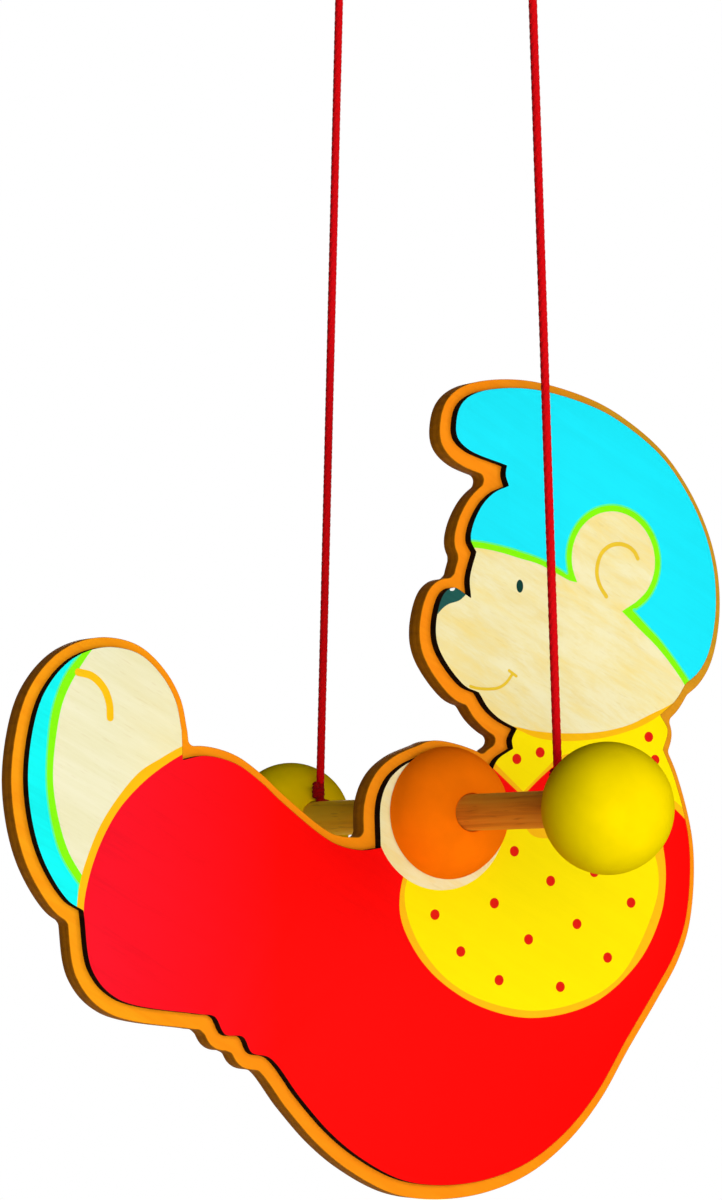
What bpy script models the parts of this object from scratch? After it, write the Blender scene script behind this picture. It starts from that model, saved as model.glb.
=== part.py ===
"""A wooden yo-yo: a flat seated bear on a rod that hangs from a hand bar by two strings.

The bear faces -X, its front is -Y, and Z points up. The origin is the middle of the hand bar,
so the rod that the bear turns on lies below it. Sizes are in metres.
"""

import math

import bmesh
import bpy
import numpy as np
from mathutils import Vector

# Sizes of the bear's boards
PICTURE_HEIGHT = 0.181
PICTURE_THICKNESS = 0.0025
CORE_THICKNESS = 0.005
CORE_MARGIN = 0.0027
CORE_INNER_CORNER = 0.0015
PICTURE_RIGHT = 0.0002
PICTURE_UP = 0.0005
BOARD_EDGE = 0.0004

# Sizes of the turned pieces
ROD_DIAMETER = 0.008
ROD_EDGE = 0.0006
BALL_DIAMETER = 0.0284
FRONT_BALL_FACE = 0.05995
REAR_BALL_FACE = 0.05575
BALL_BORE_PAST_CENTRE = 0.003
HALF_BALL_DIAMETER = 0.0296
HALF_BALL_HEIGHT = 0.0122
HAND_BAR_DIAMETER = 0.010
HAND_BAR_LENGTH = 0.120
HAND_BAR_EDGE = 0.0012
HAND_BAR_ABOVE_ROD = 0.208

# Sizes of the strings and their knots
STRING_DIAMETER = 0.0018
FRONT_STRING_AT_BAR = 0.0425
REAR_STRING_AT_BAR = 0.0455
FRONT_KNOT_TO_BALL = 0.0058
REAR_KNOT_TO_BALL = 0.0003
LOWER_KNOT_WIDTH = 0.0032
LOWER_KNOT_HEIGHT = 0.0036
LOWER_KNOT_DEPTH = 0.0028
UPPER_KNOT_WIDTH = 0.0048
UPPER_KNOT_HEIGHT = 0.0040

# Clearance between pieces that touch, and round a piece that passes through another
GAP = 0.0003

# Fineness
ROUND_SIDES = 36
SMALL_SIDES = 16
OUTLINE_STEP = 0.0008
OUTLINE_TOLERANCE = 0.00007
ARC_STEP = math.radians(12)
LOOP_REACH = 40

# The bear's outline in millimetres, X to the right and Z up from the rod's axis, clockwise as
# seen from the front. Each run is a smooth curve, and runs meet at corners.
DRAWING = (
    # sole and toes
    ((-90.5, -22), (-94.5, -20), (-101, -9.5), (-104, 6), (-102, 21), (-99, 27.5), (-94, 32),
     (-89, 34.5), (-83.5, 35.5), (-77, 34), (-71.5, 29.5), (-68, 24), (-66.5, 17.5)),
    # instep
    ((-66.5, 17.5), (-66.5, 11)),
    # shin and knee
    ((-66.5, 11), (-61.5, 12), (-50, 8.5), (-42.5, 2), (-29, -7), (-22, -8.5), (-17, -8)),
    # paw
    ((-17, -8), (-17, 2.5), (-15, 7.5), (-11, 11), (-5, 13.5), (-1.5, 15), (8, 12.5), (12, 10)),
    # chest
    ((12, 10), (13.5, 12.5), (17.5, 15)),
    # collar
    ((17.5, 15), (17, 17), (18.5, 19.5)),
    # chin
    ((18.5, 19.5), (14, 21.5), (11, 24), (8.5, 27.5)),
    # muzzle and nose
    ((8.5, 27.5), (4.5, 29), (-2, 37), (-3, 42.5), (-0.5, 49.5), (2, 51), (6.5, 49)),
    # brow
    ((6.5, 49), (6, 53.5), (8, 59.5)),
    # front of the cap
    ((8, 59.5), (6.5, 62), (7, 65.5), (9.5, 70.5), (12.5, 73.5), (16.5, 75)),
    # fold under the cap's tip
    ((16.5, 75), (15.5, 77.5), (16, 79.5)),
    # cap
    ((16, 79.5), (6, 83), (3, 85.5), (2.5, 89), (4, 93), (8, 96), (22, 97.5), (40, 94),
     (58.5, 83), (65.5, 74), (70, 65), (72.5, 55.5), (72.5, 46.5), (70.5, 38), (67.5, 34),
     (64, 31)),
    # back of the head
    ((64, 31), (61.5, 27), (57, 23.5)),
    # nape
    ((57, 23.5), (59, 20), (57.5, 15.5)),
    # back, seat, trouser cuff and heel
    ((57.5, 15.5), (61, 8.5), (65, -6.5), (64, -23), (61, -31.5), (55.5, -40.5), (47.5, -51.5),
     (39.5, -63), (31.5, -72), (21.5, -78.5), (-2, -83.5), (-12, -81.5), (-22.5, -76.5),
     (-37.5, -63.5), (-45, -54.5), (-49.5, -52.5), (-51.5, -49.5), (-56, -48.5), (-58, -45),
     (-62.5, -44.5), (-82, -41), (-88, -35), (-90.5, -22)),
)

# Places that follow from the sizes
ROD_Z = -HAND_BAR_ABOVE_ROD
ROD_RADIUS = ROD_DIAMETER / 2
BALL_RADIUS = BALL_DIAMETER / 2
BAR_RADIUS = HAND_BAR_DIAMETER / 2
STRING_RADIUS = STRING_DIAMETER / 2
STRING_HOLE_RADIUS = STRING_RADIUS + GAP
FRONT_BALL_Y = -FRONT_BALL_FACE - BALL_RADIUS
REAR_BALL_Y = REAR_BALL_FACE + BALL_RADIUS
CORE_FACE = CORE_THICKNESS / 2 - GAP / 2
PICTURE_BACK = CORE_THICKNESS / 2 + GAP / 2
PICTURE_FACE = CORE_THICKNESS / 2 + PICTURE_THICKNESS
KNOT_MIDDLE = ROD_RADIUS + GAP + LOWER_KNOT_HEIGHT / 2
STRING_FOOT = ROD_RADIUS + GAP + LOWER_KNOT_HEIGHT + GAP
STRING_HEAD = -BAR_RADIUS - GAP

for old in list(bpy.data.objects):
    bpy.data.objects.remove(old, do_unlink=True)


def material(name, colour, roughness, metallic=0.0):
    """A plain Principled surface."""
    made = bpy.data.materials.new(name)
    made.use_nodes = True
    shader = made.node_tree.nodes["Principled BSDF"]
    shader.inputs["Base Color"].default_value = (*colour, 1)
    shader.inputs["Roughness"].default_value = roughness
    shader.inputs["Metallic"].default_value = metallic
    made.diffuse_color = (*colour, 1)
    return made


def placed(name, mesh, look, location=(0, 0, 0), parent=None, helper=False):
    """An object in the scene; a helper shows as wires and is left out of the model."""
    obj = bpy.data.objects.new(name, mesh)
    bpy.context.scene.collection.objects.link(obj)
    obj.location = location
    obj.parent = parent
    if look is not None:
        mesh.materials.append(look)
    if helper:
        obj.hide_render = True
        obj.display_type = "WIRE"
    return obj


def finished(bm, name, round_angle=35):
    """The bmesh as a mesh with its normals outwards and its round stretches shaded smooth."""
    bmesh.ops.recalc_face_normals(bm, faces=bm.faces)
    mesh = bpy.data.meshes.new(name)
    bm.to_mesh(mesh)
    bm.free()
    mesh.shade_smooth()
    mesh.set_sharp_from_angle(angle=math.radians(round_angle))
    return mesh


def between(a, b, low, high, place):
    """The value at a place, where a holds at low and b at high."""
    return ((high - place) * a + (place - low) * b) / (high - low)


def smooth_run(points, step):
    """Points along the centripetal Catmull-Rom curve through the given points."""
    ends = np.vstack([2 * points[0] - points[1], points, 2 * points[-1] - points[-2]])
    run = [points[0]]
    for k in range(1, len(ends) - 2):
        four = ends[k - 1 : k + 3]
        knots = [0.0]
        for a, b in zip(four[:-1], four[1:]):
            knots.append(knots[-1] + max(np.linalg.norm(b - a), 1e-9) ** 0.5)
        pieces = max(2, math.ceil(np.linalg.norm(four[2] - four[1]) / step))
        for s in np.linspace(knots[1], knots[2], pieces + 1)[1:]:
            first = [between(four[i], four[i + 1], knots[i], knots[i + 1], s) for i in range(3)]
            second = [between(first[i], first[i + 1], knots[i], knots[i + 2], s) for i in range(2)]
            run.append(between(second[0], second[1], knots[1], knots[2], s))
    return np.array(run)


def drawn_outline():
    """The picture boards' closed outline in metres, scaled to the set height."""
    runs = [np.array(run, float) for run in DRAWING]
    drawn = np.vstack(runs)
    scale = PICTURE_HEIGHT / (drawn[:, 1].max() - drawn[:, 1].min())
    outline = [smooth_run(run * scale, OUTLINE_STEP)[:-1] for run in runs]
    return np.vstack(outline)


def distance_to(outline, points):
    """How far each point lies from the closed outline."""
    start = outline
    along = np.roll(outline, -1, axis=0) - start
    found = np.full(len(points), np.inf)
    for a, d in zip(start, along):
        t = np.clip((points - a) @ d / (d @ d), 0, 1)
        found = np.minimum(found, np.linalg.norm(points - a - np.outer(t, d), axis=1))
    return found


def offset(outline, distance):
    """The outline moved outwards by a distance, or inwards by a negative one.

    A corner that opens becomes an arc. One that closes drops out, and so do the points beside it
    that come nearer to another stretch than the distance.
    """
    ahead = np.roll(outline, -1, axis=0) - outline
    ahead /= np.linalg.norm(ahead, axis=1)[:, None]
    outward = np.stack([-ahead[:, 1], ahead[:, 0]], axis=1)
    moved = []
    for k, point in enumerate(outline):
        before, after = outward[k - 1], outward[k]
        turn = math.atan2(before[0] * after[1] - before[1] * after[0], before @ after)
        opening = -turn if distance > 0 else turn
        if opening < -ARC_STEP:
            continue
        if opening < ARC_STEP:
            moved.append(point + distance * (before + after) / (1 + before @ after))
            continue
        for angle in np.linspace(0, turn, math.ceil(opening / ARC_STEP) + 1):
            across = np.array([-before[1], before[0]])
            moved.append(point + distance * (before * math.cos(angle) + across * math.sin(angle)))
    moved = np.array(moved)
    moved = moved[distance_to(outline, moved) > abs(distance) * 0.99]
    stride = np.linalg.norm(moved - np.roll(moved, 1, axis=0), axis=1)
    return untangled(moved[stride > OUTLINE_STEP / 20])


def crossing(a, b, c, d):
    """Where the stretch from a to b crosses the one from c to d, or None."""
    first, second, across = b - a, d - c, c - a
    turn = first[0] * second[1] - first[1] * second[0]
    if turn == 0:
        return None
    t = (across[0] * second[1] - across[1] * second[0]) / turn
    u = (across[0] * first[1] - across[1] * first[0]) / turn
    return a + t * first if 0 < t < 1 and 0 < u < 1 else None


def untangled(outline):
    """The outline without the small loops that it makes where two sides meet in a corner."""
    far = int(np.argmax(np.linalg.norm(outline - outline.mean(axis=0), axis=1)))
    open_line = list(np.roll(outline, -far, axis=0))
    k = 0
    while k < len(open_line) - 3:
        for reach in range(min(LOOP_REACH, len(open_line) - 2 - k), 1, -1):
            place = crossing(*open_line[k : k + 2], *open_line[k + reach : k + reach + 2])
            if place is not None:
                open_line[k + 1 : k + reach + 1] = [place]
                break
        k += 1
    return np.array(open_line)


def thinned(outline, tolerance):
    """The outline without the points that its straight stretches don't need."""
    keep = np.zeros(len(outline), bool)
    far = int(np.argmax(np.linalg.norm(outline - outline[0], axis=1)))
    closed = np.vstack([outline, outline[:1]])
    spans = [(0, far), (far, len(outline))]
    while spans:
        first, last = spans.pop()
        keep[first % len(outline)] = True
        chord = closed[last] - closed[first]
        length = np.linalg.norm(chord)
        between = closed[first + 1 : last] - closed[first]
        if len(between) == 0 or length < 1e-9:
            continue
        away = np.abs(between[:, 0] * chord[1] - between[:, 1] * chord[0]) / length
        worst = int(np.argmax(away))
        if away[worst] > tolerance:
            spans += [(first, first + 1 + worst), (first + 1 + worst, last)]
    return outline[keep]


def board(name, outline, near, far, rounded_faces):
    """A board of this outline between two places on Y, with the named faces' edges rounded."""
    bm = bmesh.new()
    corners = [bm.verts.new((x, near, z)) for x, z in outline]
    face = bm.faces.new(corners)
    grown = bmesh.ops.extrude_face_region(bm, geom=[face])
    fresh = [item for item in grown["geom"] if isinstance(item, bmesh.types.BMVert)]
    bmesh.ops.translate(bm, verts=fresh, vec=(0, far - near, 0))
    weights = bm.edges.layers.float.new("bevel_weight_edge")
    for edge in bm.edges:
        places = {round(v.co.y, 7) for v in edge.verts}
        if len(places) == 1 and places <= {round(place, 7) for place in rounded_faces}:
            edge[weights] = 1
    mesh = finished(bm, name)
    return mesh


def round_edges(obj, width, segments=1):
    """Rounds the edges that carry a bevel weight."""
    bevel = obj.modifiers.new("rounded edge", "BEVEL")
    bevel.limit_method = "WEIGHT"
    bevel.width = width
    bevel.segments = segments
    bevel.use_clamp_overlap = True


def turned(name, profile, sides, closed=False):
    """A solid turned about Y from (radius, y) points; a closed profile leaves a bore."""
    bm = bmesh.new()
    verts = [bm.verts.new((radius, y, 0)) for radius, y in profile]
    edges = [bm.edges.new(pair) for pair in zip(verts[:-1], verts[1:])]
    if closed:
        edges.append(bm.edges.new((verts[-1], verts[0])))
    bmesh.ops.spin(
        bm,
        geom=verts + edges,
        cent=(0, 0, 0),
        axis=(0, 1, 0),
        angle=math.tau,
        steps=sides,
        use_merge=True,
    )
    bmesh.ops.remove_doubles(bm, verts=bm.verts, dist=1e-6)
    return finished(bm, name)


def drill(obj, name, radius, length, location, along):
    """Cuts a round hole along Y or Z through an object."""
    bm = bmesh.new()
    bmesh.ops.create_cone(
        bm,
        cap_ends=True,
        segments=ROUND_SIDES if radius > 0.002 else SMALL_SIDES,
        radius1=radius,
        radius2=radius,
        depth=length,
    )
    cutter = placed(name, finished(bm, name), None, location, helper=True)
    if along == "Y":
        cutter.rotation_euler = (math.pi / 2, 0, 0)
    cut = obj.modifiers.new(name, "BOOLEAN")
    cut.operation = "DIFFERENCE"
    cut.solver = "EXACT"
    cut.object = cutter


def dowel(name, radius, start, end, edge):
    """A dowel along Y with a small chamfer at each end."""
    profile = [
        (0, start),
        (radius - edge, start),
        (radius, start + edge),
        (radius, end - edge),
        (radius - edge, end),
        (0, end),
    ]
    return turned(name, profile, ROUND_SIDES)


def ball(name, front):
    """A ball with a blind bore that opens towards the board."""
    bore = ROD_RADIUS + GAP
    mouth = math.sqrt(BALL_RADIUS**2 - bore**2)
    first = math.atan2(bore, mouth)
    profile = [(0, -BALL_BORE_PAST_CENTRE), (bore, -BALL_BORE_PAST_CENTRE)]
    for angle in np.linspace(first, math.pi, 15):
        profile.append((BALL_RADIUS * math.sin(angle), BALL_RADIUS * math.cos(angle)))
    profile[-1] = (0, -BALL_RADIUS)
    side = 1 if front else -1
    return turned(name, [(radius, side * y) for radius, y in profile], ROUND_SIDES)


def half_ball(name, front):
    """A half ball on a picture board, drilled for the rod, its flat side towards the board."""
    rim = HALF_BALL_DIAMETER / 2
    sphere = (rim**2 + HALF_BALL_HEIGHT**2) / (2 * HALF_BALL_HEIGHT)
    bore = ROD_RADIUS + GAP
    base = PICTURE_FACE + GAP
    centre = base + HALF_BALL_HEIGHT - sphere
    start = math.asin(rim / sphere)
    end = math.asin(bore / sphere)
    profile = [(bore, base)]
    for angle in np.linspace(start, end, 9):
        profile.append((sphere * math.sin(angle), centre + sphere * math.cos(angle)))
    side = -1 if front else 1
    return turned(name, [(radius, side * y) for radius, y in profile], ROUND_SIDES, closed=True)


def tube(name, points, look, step, radius=STRING_RADIUS, helper=False):
    """A round cord along the smooth curve through the points, with a point at every step."""
    route = smooth_run(np.array(points, float), 0.0002)
    length = np.concatenate([[0], np.cumsum(np.linalg.norm(np.diff(route, axis=0), axis=1))])
    count = max(2, round(length[-1] / step) + 1)
    places = np.linspace(0, length[-1], count)
    route = np.stack([np.interp(places, length, route[:, axis]) for axis in range(3)], axis=1)
    curve = bpy.data.curves.new(name, "CURVE")
    curve.dimensions = "3D"
    curve.bevel_depth = radius
    curve.bevel_resolution = 2
    curve.use_fill_caps = True
    line = curve.splines.new("POLY")
    line.points.add(count - 1)
    for point, place in zip(line.points, route):
        point.co = (*place, 1)
    return placed(name, curve, look, helper=helper)


def solid_of(tube_object, name):
    """The tube's surface as a mesh, its caps joined to its side."""
    bpy.context.view_layer.update()
    graph = bpy.context.evaluated_depsgraph_get()
    mesh = bpy.data.meshes.new_from_object(tube_object.evaluated_get(graph))
    bpy.data.objects.remove(tube_object, do_unlink=True)
    bm = bmesh.new()
    bm.from_mesh(mesh)
    bmesh.ops.remove_doubles(bm, verts=bm.verts, dist=1e-6)
    return finished(bm, name)


def lump(name, centre, width, depth, height):
    """A knot's rounded body."""
    bm = bmesh.new()
    bmesh.ops.create_uvsphere(bm, u_segments=SMALL_SIDES, v_segments=10, radius=0.5)
    bmesh.ops.scale(bm, vec=(width, depth, height), verts=bm.verts)
    bmesh.ops.translate(bm, verts=bm.verts, vec=centre)
    return placed(name, finished(bm, name), None, helper=True)


def knot_place(ball_middle, clearance):
    """How far from the board a lower knot sits on the rod, this far clear of the ball."""
    reach = BALL_RADIUS + clearance
    places = []
    for angle in np.linspace(-math.pi / 2, math.pi / 2, 37):
        height = KNOT_MIDDLE + LOWER_KNOT_HEIGHT / 2 * math.sin(angle)
        bulge = LOWER_KNOT_DEPTH / 2 * math.cos(angle)
        places.append(ball_middle - math.sqrt(reach**2 - height**2) - bulge)
    return min(places)


def knot(name, look, body, cord, parent, place):
    """A knot: its cord's short run joined with the knot's body."""
    obj = placed(name, solid_of(cord, name), look, place, parent)
    body.location = place
    body.parent = parent
    join = obj.modifiers.new("knot body", "BOOLEAN")
    join.operation = "UNION"
    join.solver = "EXACT"
    join.use_self = True
    join.object = body
    return obj


core_wood = material("core_wood", (0.93, 0.42, 0.06), 0.5)
front_print = material("front_print", (0.86, 0.05, 0.04), 0.4)
rear_print = material("rear_print", (0.86, 0.05, 0.05), 0.4)
front_half_ball_paint = material("front_half_ball_paint", (0.93, 0.26, 0.03), 0.4)
rear_half_ball_paint = material("rear_half_ball_paint", (0.93, 0.27, 0.03), 0.4)
rod_wood = material("rod_wood", (0.63, 0.44, 0.20), 0.55)
front_ball_paint = material("front_ball_paint", (0.85, 0.72, 0.02), 0.4)
rear_ball_paint = material("rear_ball_paint", (0.85, 0.71, 0.02), 0.4)
hand_bar_wood = material("hand_bar_wood", (0.66, 0.47, 0.23), 0.55)
front_string_cotton = material("front_string_cotton", (0.62, 0.02, 0.03), 0.8)
rear_string_cotton = material("rear_string_cotton", (0.61, 0.02, 0.03), 0.8)
front_lower_knot_cotton = material("front_lower_knot_cotton", (0.60, 0.02, 0.03), 0.8)
rear_lower_knot_cotton = material("rear_lower_knot_cotton", (0.59, 0.02, 0.03), 0.8)
front_upper_knot_cotton = material("front_upper_knot_cotton", (0.58, 0.02, 0.03), 0.8)
rear_upper_knot_cotton = material("rear_upper_knot_cotton", (0.57, 0.02, 0.03), 0.8)

FRONT_STRING_Y = -knot_place(-FRONT_BALL_Y, FRONT_KNOT_TO_BALL)
REAR_STRING_Y = knot_place(REAR_BALL_Y, REAR_KNOT_TO_BALL)

# The rod's axis, which the bear and everything on the rod turns about
rod_axis = bpy.data.objects.new("rod_axis", None)
bpy.context.scene.collection.objects.link(rod_axis)
rod_axis.location = (0, 0, ROD_Z)

# Boards: a thick core with a thinner picture board on each side
picture_outline = drawn_outline()
core_outline = offset(picture_outline, CORE_MARGIN + CORE_INNER_CORNER)
core_outline = offset(core_outline, -CORE_INNER_CORNER)
core_outline = core_outline - np.array([PICTURE_RIGHT, PICTURE_UP])
picture_outline = thinned(picture_outline, OUTLINE_TOLERANCE)
core_outline = thinned(core_outline, OUTLINE_TOLERANCE)

core_board = placed(
    "core_board",
    board("core_board", core_outline, -CORE_FACE, CORE_FACE, (-CORE_FACE, CORE_FACE)),
    core_wood,
    parent=rod_axis,
)
front_picture_plate = placed(
    "front_picture_plate",
    board("front_picture_plate", picture_outline, -PICTURE_FACE, -PICTURE_BACK, (-PICTURE_FACE,)),
    front_print,
    parent=rod_axis,
)
rear_picture_plate = placed(
    "rear_picture_plate",
    board("rear_picture_plate", picture_outline, PICTURE_BACK, PICTURE_FACE, (PICTURE_FACE,)),
    rear_print,
    parent=rod_axis,
)
for wooden in (core_board, front_picture_plate, rear_picture_plate):
    round_edges(wooden, BOARD_EDGE)
    drill(
        wooden,
        wooden.name + "_rod_bore",
        ROD_RADIUS + GAP,
        4 * (CORE_THICKNESS + PICTURE_THICKNESS),
        (0, 0, ROD_Z),
        "Y",
    )

# Half balls over the bear's paws
placed("front_half_ball", half_ball("front_half_ball", True), front_half_ball_paint, parent=rod_axis)
placed("rear_half_ball", half_ball("rear_half_ball", False), rear_half_ball_paint, parent=rod_axis)

# The rod, its two balls, and a cross hole for each string
rod = placed(
    "rod",
    dowel(
        "rod",
        ROD_RADIUS,
        FRONT_BALL_Y - BALL_BORE_PAST_CENTRE + GAP,
        REAR_BALL_Y + BALL_BORE_PAST_CENTRE - GAP,
        ROD_EDGE,
    ),
    rod_wood,
    parent=rod_axis,
)
placed(
    "front_ball",
    ball("front_ball", True),
    front_ball_paint,
    (0, FRONT_BALL_Y, 0),
    rod_axis,
)
placed(
    "rear_ball",
    ball("rear_ball", False),
    rear_ball_paint,
    (0, REAR_BALL_Y, 0),
    rod_axis,
)

# The hand bar, at the origin
hand_bar = placed(
    "hand_bar",
    dowel("hand_bar", BAR_RADIUS, -HAND_BAR_LENGTH / 2, HAND_BAR_LENGTH / 2, HAND_BAR_EDGE),
    hand_bar_wood,
)

strings = (
    ("front", FRONT_STRING_Y, -FRONT_STRING_AT_BAR),
    ("rear", REAR_STRING_Y, REAR_STRING_AT_BAR),
)
for side, low_y, high_y in strings:
    drill(
        rod,
        side + "_rod_string_hole",
        STRING_HOLE_RADIUS,
        3 * ROD_DIAMETER,
        (0, low_y, ROD_Z),
        "Z",
    )
    drill(
        hand_bar,
        side + "_bar_string_hole",
        STRING_HOLE_RADIUS,
        3 * HAND_BAR_DIAMETER,
        (0, high_y, 0),
        "Z",
    )

    # Lower knot: down through the rod, round its far side and tied on top
    wrap = ROD_RADIUS + GAP + STRING_RADIUS
    route = [(0, 0, KNOT_MIDDLE), (0, 0, ROD_RADIUS), (0, 0, 0), (0, 0, -ROD_RADIUS)]
    for degrees in range(-72, 61, 22):
        angle = math.radians(degrees)
        out = wrap + 0.15 * STRING_RADIUS
        route.append((out * math.cos(angle), 0, out * math.sin(angle)))
    route.append((LOWER_KNOT_WIDTH * 0.22, 0, KNOT_MIDDLE))
    name = side + "_lower_knot"
    cotton = front_lower_knot_cotton if side == "front" else rear_lower_knot_cotton
    knot(
        name,
        cotton,
        lump(
            name + "_body",
            (-LOWER_KNOT_WIDTH * 0.12, 0, KNOT_MIDDLE),
            LOWER_KNOT_WIDTH,
            LOWER_KNOT_DEPTH,
            LOWER_KNOT_HEIGHT,
        ),
        tube(name + "_cord", route, None, STRING_DIAMETER * 0.6, helper=True),
        rod_axis,
        (0, low_y, 0),
    )

    # Free stretch, from the lower knot to the underside of the hand bar
    cotton = front_string_cotton if side == "front" else rear_string_cotton
    foot = Vector((0, low_y, ROD_Z + STRING_FOOT))
    head = Vector((0, high_y, STRING_HEAD))
    length = (head - foot).length
    tube(
        side + "_string",
        [foot.lerp(head, share) for share in np.linspace(0, 1, 15)],
        cotton,
        max(2.5 * STRING_DIAMETER, length / 38),
    )

    # Upper knot: through the hand bar and tied on top
    name = side + "_upper_knot"
    cotton = front_upper_knot_cotton if side == "front" else rear_upper_knot_cotton
    top = BAR_RADIUS + GAP + UPPER_KNOT_HEIGHT
    knot(
        name,
        cotton,
        lump(
            name + "_body",
            (0, 0, BAR_RADIUS + GAP + UPPER_KNOT_HEIGHT / 2),
            UPPER_KNOT_WIDTH,
            UPPER_KNOT_WIDTH,
            UPPER_KNOT_HEIGHT,
        ),
        tube(
            name + "_cord",
            [(0, 0, share) for share in np.linspace(-BAR_RADIUS, top - GAP, 6)],
            None,
            STRING_DIAMETER,
            helper=True,
        ),
        None,
        (0, high_y, 0),
    )
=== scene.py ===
"""The looks of a wooden yo-yo: a flat printed bear on a rod that hangs from a hand bar by two cords.

The bear faces -X and its front is -Y. Drawn outlines are in millimetres, X to the right and Z up
from the rod's axis; everything else is in metres.
"""

import math

import bmesh
import bpy
import numpy as np
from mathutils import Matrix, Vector
from mathutils.geometry import delaunay_2d_cdt, intersect_line_line_2d


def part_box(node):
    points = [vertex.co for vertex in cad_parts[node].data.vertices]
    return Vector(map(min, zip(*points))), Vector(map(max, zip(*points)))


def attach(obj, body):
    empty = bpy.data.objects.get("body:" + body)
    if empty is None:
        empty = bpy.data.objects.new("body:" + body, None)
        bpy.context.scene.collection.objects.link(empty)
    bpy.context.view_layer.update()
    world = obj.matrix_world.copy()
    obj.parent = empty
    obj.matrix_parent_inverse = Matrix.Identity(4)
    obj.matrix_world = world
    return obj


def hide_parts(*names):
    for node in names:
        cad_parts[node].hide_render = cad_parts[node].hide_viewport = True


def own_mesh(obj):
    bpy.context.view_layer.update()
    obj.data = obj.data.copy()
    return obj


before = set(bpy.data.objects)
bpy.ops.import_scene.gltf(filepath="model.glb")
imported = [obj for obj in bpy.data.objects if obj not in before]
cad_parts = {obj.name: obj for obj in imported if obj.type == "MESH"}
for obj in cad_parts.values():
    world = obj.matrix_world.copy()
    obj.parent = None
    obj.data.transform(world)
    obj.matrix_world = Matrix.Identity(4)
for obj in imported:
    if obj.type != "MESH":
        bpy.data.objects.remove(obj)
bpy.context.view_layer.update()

MM = 0.001

# Sizes of the pieces
ROD_RADIUS = 4.1 * MM
BORE_RADIUS = ROD_RADIUS + 0.15 * MM
GAP = 0.3 * MM
BALL_RADIUS = 14.2 * MM
BORE_PAST_CENTRE = 3 * MM
FRONT_BALL_DROP = 0.3 * MM
REAR_BALL_DROP = 0.55 * MM
HALF_BALL_RIM = 15.0 * MM
HALF_BALL_HEIGHT = 12.2 * MM
HALF_BALL_SHIFT = (0.3 * MM, 0.15 * MM)
MOUTH_BLEND = 5 * MM
MOUTH_LIP = 0.3 * MM
MOUTH_LIP_WIDTH = 0.08 * MM
ROD_END_ROUND = 0.6 * MM
BAR_RADIUS = 5 * MM
BAR_END_ROUND = 1.2 * MM
STRING_RADIUS = 1.0 * MM
STRING_HOLE_RADIUS = 1.12 * MM
KNOT_HEIGHT = 3.6 * MM

# Sizes and places in the drawing, in its millimetres. The core sits a little low behind the
# picture, and its edge is raised beside the paw, at the corner of the lap.
DRAWN_HEIGHT = 181
CORE_MARGIN = 2.75
CORE_INNER_CORNER = 1.5
CORE_SHIFT = (-0.05, -0.5)
CORE_EDGE = 0.12
PLATE_EDGE = 0.06
SEAT_CORNER = (-21, -6)
SEAT_CORNER_REACH = 3.5
SEAT_CORNER_RISE = 0.65
MEETING_WIDTH = 0.4

# Places that the CAD parts give
ROD_LOW, ROD_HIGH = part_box("rod")
ROD_Z = (ROD_LOW.z + ROD_HIGH.z) / 2
BAR_LOW, BAR_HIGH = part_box("hand_bar")
CORE_FACE = (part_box("core_board")[1].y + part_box("rear_picture_plate")[0].y) / 2
PLATE_LOW, PLATE_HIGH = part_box("rear_picture_plate")
PLATE_FACE = PLATE_HIGH.y
DRAWN_MM = (PLATE_HIGH.z - PLATE_LOW.z) / DRAWN_HEIGHT
FRONT_BALL_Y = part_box("front_ball")[0].y + BALL_RADIUS
REAR_BALL_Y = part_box("rear_ball")[1].y - BALL_RADIUS

# Fineness of the meshes
SNUG = 0.02 * MM
ROUND_SIDES = 96
BORE_SIDES = 64
HOLE_SIDES = 32
DRILL_LENGTH = 20 * MM
SHARP_FROM = math.radians(32)
OUTLINE_STEP = 0.5
ARC_STEP = math.radians(12)
LOOP_REACH = 60


def placed(name, data, location=(0, 0, 0)):
    """A new object in the scene."""
    thing = bpy.data.objects.new(name, data)
    thing.location = location
    bpy.context.scene.collection.objects.link(thing)
    return thing


# The camera, at the photograph's viewing angle
camera_data = bpy.data.cameras.new("camera")
camera_data.sensor_width = 36
camera_data.lens = 141.2
camera = placed("camera", camera_data, (-0.5285, -0.9280, -0.2325))
camera.rotation_euler = Vector((0.480, 0.8747, 0.0683)).to_track_quat("-Z", "Y").to_euler()
bpy.context.scene.camera = camera

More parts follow.
